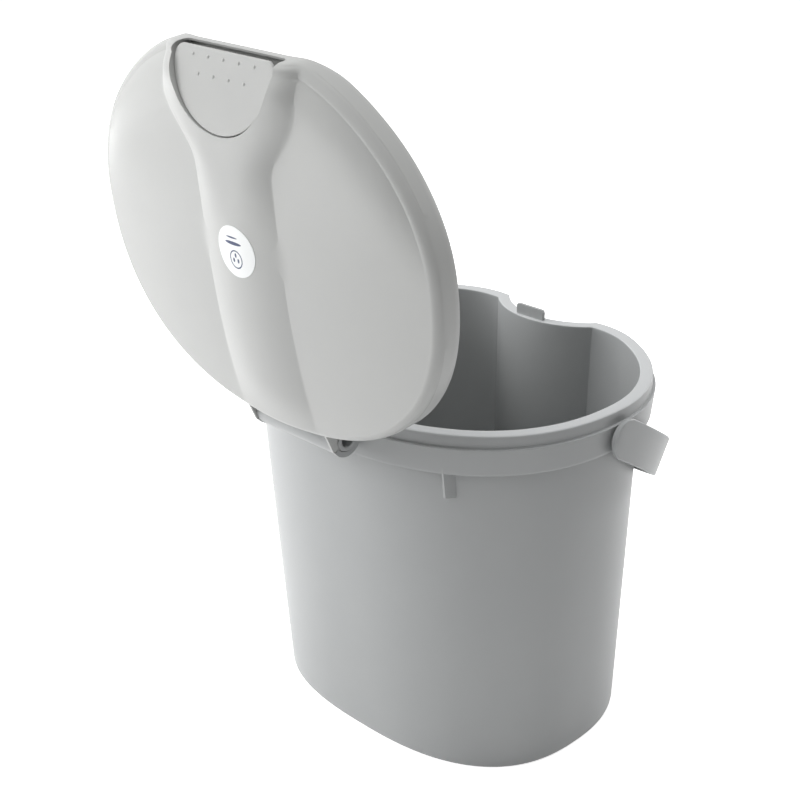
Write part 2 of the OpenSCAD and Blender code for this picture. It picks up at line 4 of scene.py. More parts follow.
import bpy
import numpy as np
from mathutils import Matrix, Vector


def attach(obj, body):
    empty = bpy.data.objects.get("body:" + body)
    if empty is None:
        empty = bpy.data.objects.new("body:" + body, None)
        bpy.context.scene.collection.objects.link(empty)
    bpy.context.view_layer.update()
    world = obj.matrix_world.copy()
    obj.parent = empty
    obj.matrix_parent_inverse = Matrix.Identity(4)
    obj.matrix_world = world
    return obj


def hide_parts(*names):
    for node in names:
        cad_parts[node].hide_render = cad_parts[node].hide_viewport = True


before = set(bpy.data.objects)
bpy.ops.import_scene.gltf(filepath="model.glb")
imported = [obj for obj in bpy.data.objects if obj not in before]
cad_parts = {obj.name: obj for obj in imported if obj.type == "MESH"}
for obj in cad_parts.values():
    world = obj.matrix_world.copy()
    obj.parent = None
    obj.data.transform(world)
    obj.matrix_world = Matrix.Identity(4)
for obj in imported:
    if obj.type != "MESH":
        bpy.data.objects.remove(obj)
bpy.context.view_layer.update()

MM = 0.001

# Pail, in millimetres
RIM_Z = 270.0
WALL = 2.0
WALL_TOP = (146.0, 120.6, 118.0)
WALL_BASE = (129.0, 96.0, 108.4)
POWER_TOP = (2.29, 2.04)
POWER_BASE = (2.58, 2.2)
RIM_OUT = 7.0
RIM_T = 2.2
RIM_EDGE_R = 0.6
BAND_H = 8.7
SKIRT_DROP = 28.0
LEDGE = 2.2
SKIRT_T = 1.8
FOOT_R = 3.0
FLOOR_T = 2.5
FLOOR_R = 6.0
FLOOR_CROWN = 0.6
PAD_R = 60.0
RECESS = 0.8
FOOT_W = 5.0
DENT_R = 66.4
DENT_CENTRE = 150.7
DENT_ANGLE = 45.3
FLANK_X = 82.0
LEDGE_Z = RIM_Z - BAND_H
SKIRT_Z = RIM_Z - SKIRT_DROP
SIDE_STEPS = 320
DENT_STEPS = 56

# Catch tab on the rim, and the ribs on the back
CATCH_HALF = 12.9
CATCH_BACK = DENT_CENTRE - DENT_R + 2.6
CATCH_T = 2.3
CATCH_H = 8.3
CATCH_CORNER = 2.0
BEAD_R = 0.9
BEAD_Z = RIM_Z + 5.2
RIB_X = 95.0
RIB_HALF = 0.9
RIB_DEPTH = 7.6
RIB_LOW_Z = SKIRT_Z - 21

# Hinge
HINGE_Y = 137.0
HINGE_Z = 258.5
BARREL_R = 11.8
BARREL_HALF = 36.9
CHEEK_T = 1.8
CHEEK_R = 8.2
CHEEK_IN = BARREL_HALF + 0.3
CHEEK_OUT = CHEEK_IN + CHEEK_T
CHEEK_LEAD = 63.1
CHEEK_TOP_Z = RIM_Z + 8.0
EYE_IN = 36.0
EYE_OUT = 41.0
STOP_GAP = 0.4
SLIP = 0.08
PIN_R = 6.3
PIN_BORE_R = 5.05
PIN_FLANGE_R = 7.85
PIN_DEPTH = 10.0
OPEN_ANGLE = 96.4

# Lid, in the closed position
LID_T = 1.6
LID_OUT = 9.0
SHOULDER_R = 6.0
LID_FOOT_Z = LEDGE_Z + 0.3
SHOULDER_Z = LID_FOOT_Z + 12.1
CROWN_Z = RIM_Z + 20.0
DOME_OUT = LID_OUT - SHOULDER_R
DOME_DROP = CROWN_Z - SHOULDER_Z - SHOULDER_R
LID_FRONT = 120.5
DOME_FRONT = LID_FRONT - SHOULDER_R
RIDGE_H = 5.5
RIDGE_FRONT_H = 7.6
RIDGE_HALF = 35.7
FLARE_HALF = 60.0
FLARE_START = 48.0
FLARE_END = 93.0
BULGE = 1.5
FRONT_SOFTNESS = 1.4
QUARTER = 96
EDGE_STEP = 64

# Opening in the lid and the press panel
HOLE_R = 46.4
HOLE_Y = 118.8
HOLE_FRONT = LID_FRONT - LID_T
HOLE_CORNER = 0.3
LIP_Z = RIM_Z + 3.5
FRONT_LIFT = 7.2
WELL_Z = RIM_Z + 0.5
WELL_T = 1.6
DENT_SIDE_R = DENT_R - WALL - RIM_OUT - 0.5
SHELF_BACK = 114.5
ABOVE_LID_Z = CROWN_Z + 20
PANEL_R = HOLE_R - 0.6
PANEL_T = 1.4
PANEL_BACK = PANEL_R - HOLE_Y
PANEL_BACK_Z = CROWN_Z + RIDGE_H + 0.2
PANEL_FACE = 120.3
PANEL_CORNER = 7.0
PANEL_EDGE_R = 0.6
AXLE_Y = -76.0
AXLE_Z = RIM_Z - 8.0
AXLE_R = 1.75
AXLE_BOX_HALF = 29.0
AXLE_BOX_FRONT = AXLE_Y - 5.3
AXLE_BOX_BACK = AXLE_Y + 6.5
AXLE_BOX_Z = AXLE_Z - 6.0
SLOT_HALF = 14.0
SLOT_FRONT = -97.0
SLOT_BACK = -84.0
LEG_R = 4.0
LEG_T = 3.0
LEG_X = (-11.0, 8.0)
HOOK_HALF = 12.0
HOOK_Y = -(CATCH_BACK + CATCH_T + 4)
HOOK_Z = RIM_Z + 2.4
DOT_R = 1.3
DOT_SUNK = 0.55

# Handle
PIVOT_Y = -2.0
PIVOT_Z = RIM_Z - 20.0
PEG_BORE_R = 5.08
PEG_BORE_IN = 148.0
PEG_BORE_OUT = 158.0
HANDLE_HALF = 156.8
HANDLE_REACH = 138.84
HANDLE_POWER = 2.3
STRAP_T = 3.4
STRAP_W = 28.5
STRAP_EDGE_R = 1.1
REST_ANGLE = 32.5

# Sticker
STICKER_R = 17.0
STICKER_Y = 1.3
STICKER_T = 0.25

# Meshes and the studio
SMOOTH_ANGLE = 35
FLOOR_HALF = 3000
FLOOR_GLOW = 0.8


def srgb(code):
    """Linear colour of an sRGB hex value."""
    parts = [int(code[i:i + 2], 16) / 255 for i in (1, 3, 5)]
    linear = [c / 12.92 if c <= 0.04045 else ((c + 0.055) / 1.055) ** 2.4 for c in parts]
    return (*linear, 1.0)


def add_node(tree, kind, settings=None, **inputs):
    """Add a node, set its own settings, and fill or link its inputs by name or by number."""
    node = tree.nodes.new(kind)
    for name, value in (settings or {}).items():
        setattr(node, name, value)
    for name, value in inputs.items():
        key = int(name[1:]) if name[0] == "i" and name[1:].isdigit() else name.replace("_", " ")
        if isinstance(value, bpy.types.NodeSocket):
            tree.links.new(value, node.inputs[key])
        else:
            node.inputs[key].default_value = value
    return node


def power(values, exponent):
    """Signed power: the sign of each value times its size raised to the exponent."""
    return np.sign(values) * np.abs(values) ** exponent


def lerp(a, b, t):
    """The value a share t of the way from a to b."""
    return a + (b - a) * t


def smooth(u):
    """Smooth step: zero below nought, one above one, three u squared less two u cubed between."""
    c = np.clip(u, 0, 1)
    return c * c * (3 - 2 * c)


def span(side, near, far):
    """Low and high x of a stretch between two distances from the middle, on one side of it."""
    return sorted((side * near, side * far))


def make_object(name, points, faces, smooth_angle=SMOOTH_ANGLE):
    """A mesh object at the origin from points in millimetres, shaded smooth below an angle."""
    mesh = bpy.data.meshes.new(name)
    mesh.from_pydata((np.asarray(points) * MM).tolist(), [], faces)
    mesh.validate()
    mesh.update()
    mesh.shade_smooth()
    mesh.set_sharp_from_angle(angle=math.radians(smooth_angle))
    obj = bpy.data.objects.new(name, mesh)
    bpy.context.scene.collection.objects.link(obj)
    return obj


def ring_quads(rings, count):
    """Quads between rings of equal count, each ring joined to itself."""
    index = np.arange(rings * count).reshape(rings, count)
    a, b = index[:-1], index[1:]
    return np.stack([a, np.roll(a, -1, 1), np.roll(b, -1, 1), b], axis=-1).reshape(-1, 4).tolist()


def ring_faces(rings, count):
    """Quads between rings, with a fan at each end to one more point, which follow the rings'."""
    ring = np.arange(count)
    after = np.roll(ring, -1)
    points = rings * count
    start = np.column_stack([np.full(count, points), after, ring])
    end = np.column_stack([np.full(count, points + 1), ring + points - count, after + points - count])
    return ring_quads(rings, count) + start.tolist() + end.tolist()


def ring_solid(name, rings, first_point, last_point, smooth_angle=SMOOTH_ANGLE):
    """A closed surface through rings, an array of rings by points by three, and two end points."""
    rings = np.asarray(rings)
    points = np.vstack([rings.reshape(-1, 3), first_point, last_point])
    return make_object(name, points, ring_faces(*rings.shape[:2]), smooth_angle)


def prism(name, outline, low, high, axis):
    """An outline, points by two, carried straight along an axis from low to high."""
    outline = np.asarray(outline, float)
    n = len(outline)
    plane = {"x": [1, 2], "y": [0, 2], "z": [0, 1]}[axis]
    points = np.zeros((2 * n, 3))
    points[:, plane] = np.vstack([outline, outline])
    points[:, "xyz".index(axis)] = np.repeat([low, high], n)
    i = np.arange(n)
    j = np.roll(i, -1)
    faces = np.column_stack([i, j, n + j, n + i]).tolist() + [i[::-1].tolist(), (n + i).tolist()]
    if axis == "y":
        faces = [face[::-1] for face in faces]
    return make_object(name, points, faces)


def revolve_x(name, profile, y, z, count=128):
    """A profile of x and radius turned round a line along X, and closed on that line at both ends."""
    profile = np.asarray(profile, float)
    t = np.linspace(0, 2 * np.pi, count, endpoint=False)
    x, r = profile[:, :1], profile[:, 1:]
    rings = np.stack([x + 0 * t, y + r * np.cos(t), z + r * np.sin(t)], axis=-1)
    return ring_solid(name, rings, [profile[0, 0], y, z], [profile[-1, 0], y, z])


def rod_x(name, x0, x1, y, z, r, edge=0.0, count=128):
    """A round rod along X, with a quarter round of radius edge at both ends where there is one."""
    along, radius = np.zeros(1), np.full(1, float(r))
    if edge:
        a = np.radians([0, 22.5, 45, 67.5, 90])
        along, radius = edge * (1 - np.cos(a)), r - edge * (1 - np.sin(a))
    profile = np.column_stack([np.concatenate([x0 + along, x1 - along[::-1]]),
                               np.concatenate([radius, radius[::-1]])])
    return revolve_x(name, profile, y, z, count)


def combine(obj, others, operation):
    """Join or cut a mesh by others with an exact boolean, and keep the result as its mesh."""
    for other in others:
        modifier = obj.modifiers.new("combine", "BOOLEAN")
        modifier.operation = operation
        modifier.solver = "EXACT"
        modifier.object = other
    bpy.context.view_layer.update()
    graph = bpy.context.evaluated_depsgraph_get()
    mesh = bpy.data.meshes.new_from_object(obj.evaluated_get(graph))
    obj.modifiers.clear()
    old = obj.data
    obj.data = mesh
    bpy.data.meshes.remove(old)
    for other in others:
        bpy.data.objects.remove(other)
    obj.data.shade_smooth()
    obj.data.set_sharp_from_angle(angle=math.radians(SMOOTH_ANGLE))
    return obj


def swing_open(points):
    """Turn closed lid points about the hinge axis by the open angle."""
    p = np.array(points, float)
    turn = math.radians(OPEN_ANGLE)
    y, z = p[..., 1] - HINGE_Y, p[..., 2] - HINGE_Z
    p[..., 1] = HINGE_Y + y * math.cos(turn) + z * math.sin(turn)
    p[..., 2] = HINGE_Z - y * math.sin(turn) + z * math.cos(turn)
    return p


def open_object(obj):
    """Swing an object that was drawn on the closed lid to where the open lid holds it."""
    mesh = obj.data
    flat = np.empty(len(mesh.vertices) * 3)
    mesh.vertices.foreach_get("co", flat)
    points = swing_open(flat.reshape(-1, 3) / MM) * MM
    mesh.vertices.foreach_set("co", points.ravel())
    mesh.update()
    return obj


# Pail
def pail_ring(z, out, w):
    """One outline of the pail: a superellipse round the back and sides, a flank that leans in
    quadratically toward the crease, and a circular arc for the dent. w picks the wall's taper."""
    f = w / RIM_Z
    a, b, front = (lerp(base, top, f) + out for base, top in zip(WALL_BASE, WALL_TOP))
    power_back = lerp(POWER_BASE[0], POWER_TOP[0], f)
    power_front = lerp(POWER_BASE[1], POWER_TOP[1], f)
    k = (front - out) / WALL_TOP[2]
    from_inner = out + WALL
    r = (DENT_R - from_inner) * k
    beta = math.radians(DENT_ANGLE - from_inner / 2)
    crease = (r * math.cos(beta), -DENT_CENTRE * k + r * math.sin(beta))
    start = math.acos((crease[0] / a) ** (power_front / 2))
    drop = front * (1 - (crease[0] / a) ** power_front) ** (1 / power_front) + crease[1]
    t = np.linspace(-start, math.pi + start, SIDE_STEPS + 1)
    ahead = np.sin(t) < 0
    n = np.where(ahead, power_front, power_back)
    x = a * power(np.cos(t), 2 / n)
    y = np.where(ahead, front, b) * power(np.sin(t), 2 / n)
    flank = FLANK_X * k
    lean = np.where(ahead & (np.abs(x) < flank), ((flank - np.abs(x)) / (flank - crease[0])) ** 2, 0)
    y = y + drop * lean
    u = np.linspace(math.pi - beta, beta, DENT_STEPS + 1)[1:-1]
    x = np.concatenate([x, r * np.cos(u)])
    y = np.concatenate([y, -DENT_CENTRE * k + r * np.sin(u)])
    return np.column_stack([x, y, np.full(len(x), z)])


def corner(z, out, radius, start, steps=5):
    """Profile points of a quarter round of a radius about (out, z), from a start angle in degrees,
    turning anticlockwise as seen with out to the right and z up."""
    angles = np.radians(np.linspace(start, start + 90, steps))
    return [(z + radius * math.sin(a), out + radius * math.cos(a)) for a in angles]


def pail_profile():
    """Height, offset from the wall and taper height along the pail's wall, from the middle of the
    underside, up the outside, over the rim and down the inside to the floor."""
    edge = RIM_EDGE_R
    rows = [(z, o, max(z, 0)) for z, o in corner(FOOT_R, -FOOT_R, FOOT_R, 270, 8)]
    rows += [(z, 0, z) for z in np.linspace(FOOT_R, RIM_Z - RIM_T, 30)[1:]]
    inner = RIM_OUT - SKIRT_T
    rim = [(RIM_Z - RIM_T, inner), (LEDGE_Z + SKIRT_T, inner),
           (LEDGE_Z - SKIRT_T, RIM_OUT + LEDGE - SKIRT_T), (SKIRT_Z + 0.3, inner)]
    rim += [(SKIRT_Z, inner + 0.4), (SKIRT_Z, RIM_OUT - 0.5), (SKIRT_Z + 0.15, RIM_OUT - 0.15),
            (SKIRT_Z + 0.5, RIM_OUT + 0.05)]
    rim += [(z, RIM_OUT + LEDGE * (z - SKIRT_Z) / (LEDGE_Z - SKIRT_Z)) for z in
            np.linspace(SKIRT_Z + 2, LEDGE_Z - edge, 8)]
    rim += corner(LEDGE_Z - edge, RIM_OUT + LEDGE - edge, edge, 0)[1:]
    rim += [(LEDGE_Z, RIM_OUT + 0.5), (LEDGE_Z + 0.12, RIM_OUT + 0.15), (LEDGE_Z + 0.5, RIM_OUT)]
    rim += [(LEDGE_Z + 4, RIM_OUT)]
    rim += corner(RIM_Z - edge - 0.2, RIM_OUT - edge - 0.2, edge + 0.2, 0)
    rim += [(RIM_Z, 4.5), (RIM_Z, 2.0), (RIM_Z, 0.0)]
    rim += corner(RIM_Z - edge, -WALL + edge, edge, 90)
    rows += [(z, o, RIM_Z) for z, o in rim]
    low = FLOOR_T + FLOOR_R
    rows += [(z, -WALL, z) for z in np.linspace(RIM_Z - 3, low, 28)]
    rows += [(low - FLOOR_R * math.sin(a), -WALL - FLOOR_R + FLOOR_R * math.cos(a), low)
             for a in np.radians(np.linspace(15, 90, 6))]
    return rows


def pail_rings():
    """The pail's outlines along its profile. Under it a round pad, a shallow recess and the foot
    come first, and shrunken copies that rise to a slight crown close the floor inside."""
    rings = [pail_ring(z, o, w) for z, o, w in pail_profile()]
    foot = pail_ring(0, -FOOT_R - FOOT_W, 0)
    recess = pail_ring(RECESS, -FOOT_R - FOOT_W - 1, 0)
    round_way = foot[:, :2] / np.hypot(foot[:, 0], foot[:, 1])[:, None]

    def pad(r, z):
        """A circle of radius r at height z, a point for each point of the foot."""
        return np.column_stack([round_way * r, np.full(len(foot), z)])

    under = [pad(PAD_R * s, 0) for s in (0.2, 0.4, 0.6, 0.8, 0.995)] + [pad(PAD_R + 0.2, 0.1)]
    edge = pad(PAD_R + 1, RECESS)
    under += [lerp(edge, recess, s) for s in (0, 0.33, 0.67, 1)] + [foot]
    finish = [rings[-1] * [s, s, 1] + [0, 0, FLOOR_CROWN * (1 - s)] for s in (0.93, 0.75, 0.5, 0.25)]
    return np.array(under + rings + finish)


def arc_points(centre, radius, start, stop, steps):
    """Points on a circle in a plane, from a start to a stop angle in degrees."""
    t = np.radians(np.linspace(start, stop, steps))
    return [(centre[0] + radius * math.cos(a), centre[1] + radius * math.sin(a)) for a in t]


def hinge_stops():
    """Two curved stops on the barrel's ends: a ring sector carried along X."""
    inner, outer = CHEEK_R + 0.4, BARREL_R + 0.5
    centre = (HINGE_Y, HINGE_Z)
    end = CHEEK_LEAD - OPEN_ANGLE - STOP_GAP
    outline = arc_points(centre, outer, -180, end, 40) + arc_points(centre, inner, end, -180, 40)
    high = BARREL_HALF + CHEEK_T + 0.4
    return [prism("stop", outline, *span(side, BARREL_HALF - 0.5, high), "x") for side in (1, -1)]


def catch_tab():
    """The tab that stands on the rim, with its upper corners rounded, and the bead on its front."""
    r = CATCH_CORNER
    top = RIM_Z + CATCH_H
    outline = [(-CATCH_HALF, RIM_Z - 1), (CATCH_HALF, RIM_Z - 1)]
    outline += arc_points((CATCH_HALF - r, top - r), r, 0, 90, 8)
    outline += arc_points((-CATCH_HALF + r, top - r), r, 90, 180, 8)
    front = -CATCH_BACK - CATCH_T
    bead = rod_x("bead", -CATCH_HALF + 0.2, CATCH_HALF - 0.2, front, BEAD_Z, BEAD_R, 0.4, 32)
    return [prism("tab", outline, front, -CATCH_BACK, "y"), bead]


def back_ribs():
    """Two thin ribs on the back of the wall under the skirt, drawn from the side."""
    half = WALL_TOP[0]
    wall = WALL_TOP[1] * (1 - (RIB_X / half) ** POWER_TOP[0]) ** (1 / POWER_TOP[0]) - 1.5
    outline = [(wall - 2, RIB_LOW_Z), (wall + 7.0, SKIRT_Z - 18.4), (wall + RIB_DEPTH, SKIRT_Z - 18),
               (wall + 10, SKIRT_Z + 4), (wall - 2, SKIRT_Z + 4)]
    return [prism("rib", outline, *span(side, RIB_X - RIB_HALF, RIB_X + RIB_HALF), "x") for side in (-1, 1)]


def make_pail():
    """The pail: its wall and floor, joined to the barrel, stops, tab and ribs, with four bores."""
    pail = ring_solid("pail_moulding", pail_rings(), [0, 0, 0], [0, 0, FLOOR_T + FLOOR_CROWN])
    barrel = rod_x("barrel", -BARREL_HALF, BARREL_HALF, HINGE_Y, HINGE_Z, BARREL_R, 0.5)
    combine(pail, [barrel] + hinge_stops() + catch_tab() + back_ribs(), "UNION")
    bores = [rod_x("bore", *span(side, BARREL_HALF - PIN_DEPTH, BARREL_HALF + 6), HINGE_Y, HINGE_Z, PIN_R)
             for side in (-1, 1)]
    bores += [rod_x("bore", *span(side, PEG_BORE_IN, PEG_BORE_OUT), PIVOT_Y, PIVOT_Z, PEG_BORE_R)
              for side in (-1, 1)]
    return combine(pail, bores, "DIFFERENCE")


# Lid
def ridge_width(y):
    """Half width of the raised band: it widens by a smooth step beside the press panel."""
    return lerp(RIDGE_HALF, FLARE_HALF, smooth((-y - FLARE_START) / (FLARE_END - FLARE_START)))


def front_bulge(x, y):
    """How far the lid's front corners stand out past the superellipse: a smooth hump over x."""
    x = np.abs(x)
    return BULGE * smooth((x - 30) / 34) * (1 - smooth((x - 68) / 50)) * smooth(-y / 60)


def dome_fall(s, y):
    """Fall of the dome: a plain power behind, and a blend of two powers, flat for longer, in front."""
    return DOME_DROP * lerp(s ** 2.3, 0.31 * s ** 2 + 0.69 * s ** 12, smooth(-y / 60))


def lid_z(x, y):
    """Height of the dome inside its superelliptic edge, and of the shoulder outside: a quarter round,
    which gets squarer by a higher power in front, where the raised band ends."""
    n = np.where(y < 0, POWER_TOP[1], POWER_TOP[0])
    depth = np.where(y < 0, WALL_TOP[2], WALL_TOP[1]) + DOME_OUT
    half = WALL_TOP[0] + DOME_OUT
    far = np.abs(y + front_bulge(x, y))
    round_s = np.maximum((np.abs(x) / half) ** n + (far / depth) ** n, 1e-9) ** (1 / n)
    s = np.maximum(round_s, -y / DOME_FRONT)
    beyond = np.maximum(np.hypot(x, y) * (1 - 1 / np.maximum(round_s, 1e-3)), -y - DOME_FRONT)
    square = np.where(y < 0, lerp(3.4, 2, smooth((np.abs(x) - 40) / 40)), 2)
    past = np.clip(beyond / SHOULDER_R, 0, 1) ** square
    shoulder = SHOULDER_Z + SHOULDER_R * (1 - past) ** (1 / square)
    return np.where(s > 1, shoulder, CROWN_Z - dome_fall(np.minimum(s, 1), y))


def ridge_z(x, y):
    """Height of the raised band: a rounded arch between its edges, whose rise dies away in front
    of the hinge and over the shoulder."""
    w = ridge_width(y)
    middle = lid_z(np.zeros_like(y), y)
    rise = lerp(RIDGE_H, RIDGE_FRONT_H, smooth((-y - 10) / 60)) * (1 - 0.75 * smooth((y - 90) / 40))
    rise = rise * (middle - SHOULDER_Z) / np.maximum(SHOULDER_R, middle - SHOULDER_Z)
    edge = lid_z(w, y)
    shape = lerp(2, 5, smooth(-y / 100)) + 4 * smooth((-y - 92) / 16)
    return edge + (middle + rise - edge) * (1 - np.minimum(1, np.abs(x) / w) ** shape)


def top_z(x, y):
    """Height of the lid's outside at any place: the higher of the dome and the raised band."""
    x, y = np.broadcast_arrays(np.asarray(x, float), np.asarray(y, float))
    plain = lid_z(x, y)
    return np.where(np.abs(x) < ridge_width(y), np.maximum(plain, ridge_z(x, y)), plain)


def lid_ring(z, out, s=1.0):
    """One outline of the lid: four superelliptic quarters, each with one point on the raised band's
    edge, found by repeated substitution, scaled about the middle by s. In front they bulge at the
    corners, and stop softly at a straight line: half of the way to it plus the root of that way
    squared and a little more is added."""
    step = np.arange(QUARTER)
    parts = []
    for right, behind in ((True, True), (False, True), (False, False), (True, False)):
        n = POWER_TOP[0] if behind else POWER_TOP[1]
        a = s * (WALL_TOP[0] + out)
        depth = s * (WALL_TOP[1] + out if behind else -WALL_TOP[2] - out)
        w = RIDGE_HALF
        for _ in range(6):
            w = float(ridge_width(depth * (1 - min(0.98, w / a) ** n) ** (1 / n)))
        edge_t = max(math.radians(12), math.acos(min(0.98, w / a) ** (n / 2)))
        j = step if right == behind else QUARTER - step
        t = np.where(j <= EDGE_STEP, edge_t * j / EDGE_STEP,
                     lerp(edge_t, math.pi / 2, (j - EDGE_STEP) / (QUARTER - EDGE_STEP)))
        x = (a if right else -a) * np.cos(t) ** (2 / n)
        y = depth * np.sin(t) ** (2 / n)
        bulge = s * front_bulge(x, y)
        straight = s * (LID_OUT - out - LID_FRONT) - y + bulge
        soft = FRONT_SOFTNESS * s * (not behind)
        y = y - bulge + (straight + np.sqrt(straight ** 2 + soft)) / 2
        parts.append(np.column_stack([x, y, np.full(QUARTER, float(z))]))
    return np.vstack(parts)


def front_lift(ring):
    """The lid's ring with its front drawn up toward the shoulder: the lift fades to the sides by a
    smooth step, and is shared out in proportion below the shoulder."""
    x, y, z = ring.T
    lift = np.where(y < 0, FRONT_LIFT * (1 - smooth((np.abs(x) - 38) / 45)), 0)
    share = np.clip((SHOULDER_Z - z) / (SHOULDER_Z - LID_FOOT_Z), 0, 1)
    return np.column_stack([x, y, z + lift * share])


def on_top(ring, below=0.0):
    """The ring laid on the lid's outside, or a distance below it."""
    return np.column_stack([ring[:, 0], ring[:, 1], top_z(ring[:, 0], ring[:, 1]) - below])


def lid_rings():
    """Rings from the middle of the lid's inside, down its wall, round the hem and up over the
    shoulder to the crown."""
    steps = np.sin(np.linspace(0.06, math.pi / 2, 46))
    inside = [on_top(lid_ring(0, DOME_OUT - LID_T / 2, s), LID_T) for s in steps[::2]]
    inner_r = SHOULDER_R - LID_T
    inside += [lid_ring(SHOULDER_Z + inner_r * math.sin(a), LID_OUT - LID_T - inner_r * (1 - math.cos(a)))
               for a in np.radians([70, 50, 30, 12])]
    inside += [lid_ring(z, LID_OUT - LID_T) for z in (SHOULDER_Z, LID_FOOT_Z + 4, LID_FOOT_Z + 0.5)]
    hem = [lid_ring(LID_FOOT_Z + 0.1, LID_OUT - LID_T + 0.15), lid_ring(LID_FOOT_Z, LID_OUT - LID_T + 0.5),
           lid_ring(LID_FOOT_Z, LID_OUT - 0.5), lid_ring(LID_FOOT_Z + 0.15, LID_OUT - 0.15)]
    outside = [lid_ring(z, LID_OUT) for z in (LID_FOOT_Z + 0.5, LID_FOOT_Z + 4, LID_FOOT_Z + 8, SHOULDER_Z)]
    outside += [on_top(lid_ring(0, LID_OUT - SHOULDER_R * (1 - math.cos(a))))
                for a in np.radians(np.linspace(8, 84, 12))]
    outside += [on_top(lid_ring(0, DOME_OUT, s)) for s in steps[::-1]]
    return np.array([front_lift(ring) for ring in inside + hem + outside])


def cut_circle(r, front, corner_r, corner_count=16):
    """An outline from above: a circle about (0, -HOLE_Y) cut off by a straight line in front, with a
    smaller circle that touches both in each corner."""
    count, front_count = 150, 60
    up = HOLE_Y - front + corner_r
    side = math.sqrt((r - corner_r) ** 2 - up * up)
    lean = math.atan2(up, side)
    t = np.linspace(lean, math.pi - lean, count)
    c = np.linspace(-math.pi / 2, lean, corner_count, endpoint=False)
    right = np.column_stack([side + corner_r * np.cos(c), corner_r * np.sin(c) - front + corner_r])
    arc = np.column_stack([r * np.cos(t), r * np.sin(t) - HOLE_Y])
    x = np.linspace(-side, side, front_count + 2)[1:-1]
    line = np.column_stack([x, np.full(front_count, -front)])
    return np.vstack([right, arc, right[::-1] * [-1, 1], line])


def well_wall():
    """The wall that drops from the opening's edge: an arc of a tube, its top under the shell."""
    front = LID_FRONT - LID_T / 2
    cut = math.asin((HOLE_Y - front) / (HOLE_R + WELL_T))
    t = np.linspace(cut, math.pi - cut, 180)
    inner = np.column_stack([(HOLE_R - 0.3) * np.cos(t), (HOLE_R - 0.3) * np.sin(t) - HOLE_Y])
    outer = np.column_stack([(HOLE_R + WELL_T) * np.cos(t), (HOLE_R + WELL_T) * np.sin(t) - HOLE_Y])
    n = len(t)
    low = np.full(n, WELL_Z)
    corners = [np.column_stack([inner, top_z(*inner.T) - LID_T / 2]),
               np.column_stack([outer, top_z(*outer.T) - LID_T / 2]),
               np.column_stack([outer, low]), np.column_stack([inner, low])]
    rows = np.stack(corners, axis=1)
    faces = ring_quads(n, 4) + [[3, 2, 1, 0], [4 * n - 4, 4 * n - 3, 4 * n - 2, 4 * n - 1]]
    return make_object("well_wall", rows.reshape(-1, 3), faces)


def well_floor():
    """The well's floor: a circle a little wider than the opening, less a circle in front of the
    pail's rim, where the shelf takes over."""
    r, dent, apart = HOLE_R + WELL_T / 2, DENT_SIDE_R - 0.4, DENT_CENTRE - HOLE_Y
    meet = (dent * dent - r * r + apart * apart) / (2 * apart)
    start, lift = math.asin((meet - apart) / r), math.asin(meet / dent)
    t = np.linspace(start, math.pi - start, 120)
    u = np.linspace(math.pi - lift, lift, 90)[1:-1]
    arc = np.column_stack([r * np.cos(t), r * np.sin(t) - HOLE_Y])
    back = np.column_stack([dent * np.cos(u), dent * np.sin(u) - DENT_CENTRE])
    return prism("well_floor", np.vstack([arc, back]), WELL_Z, WELL_Z + LID_T, "z")


def front_shelf():
    """The shelf inside the front edge: a strip whose back swells in an arc toward the dent."""
    half = HOLE_R + 4
    r = DENT_SIDE_R
    lift = math.asin((DENT_CENTRE - SHELF_BACK) / r)
    arc = arc_points((0, -DENT_CENTRE), r, math.degrees(lift), 180 - math.degrees(lift), 80)
    strip = LID_FRONT - LID_T / 2
    outline = [(-half, -strip), (half, -strip), (half, -SHELF_BACK)] + arc + [(-half, -SHELF_BACK)]
    return prism("front_shelf", outline, LID_FOOT_Z + FRONT_LIFT, WELL_Z + 0.1, "z")


def lip_cutter():
    """What clears the front wall above the lip: level, with a quarter round up to both ends of the
    opening, carried along Y."""
    r = 4.0
    outline = arc_points((-HOLE_R + r, LIP_Z + r), r, 180, 270, 16)
    outline += arc_points((HOLE_R - r, LIP_Z + r), r, 270, 360, 16)
    outline += [(HOLE_R, ABOVE_LID_Z), (-HOLE_R, ABOVE_LID_Z)]
    return prism("lip", outline, -LID_FRONT - 1, -HOLE_FRONT + 2, "y")


def block(name, x0, x1, y0, y1, z0, z1):
    """An upright block, used only to join to or cut from another mesh."""
    return prism(name, [(x0, y0), (x1, y0), (x1, y1), (x0, y1)], z0, z1, "z")


def about_hinge(r, degrees):
    """The y and z of a place at a distance and an angle from the hinge's line."""
    return (HINGE_Y + r * math.cos(math.radians(degrees)), HINGE_Z + r * math.sin(math.radians(degrees)))


def hinge_cheeks():
    """The two cheeks: a web from the lid's back wall to a round eye, drawn from the side."""
    root, web = HINGE_Y - 18.5, HINGE_Y - 10.8
    low, foot = RIM_Z + 0.8, LEDGE_Z + 0.5
    outline = [(root, low), (web, low), (web, foot), (HINGE_Y - CHEEK_R + 1, foot)]
    outline += arc_points((HINGE_Y, HINGE_Z), CHEEK_R, 190, 360 + CHEEK_LEAD, 72)
    outline += [about_hinge(12.9, CHEEK_LEAD + 2.7), (root, CHEEK_TOP_Z)]
    return [prism("cheek", outline, *span(side, CHEEK_IN, CHEEK_OUT), "x") for side in (-1, 1)]


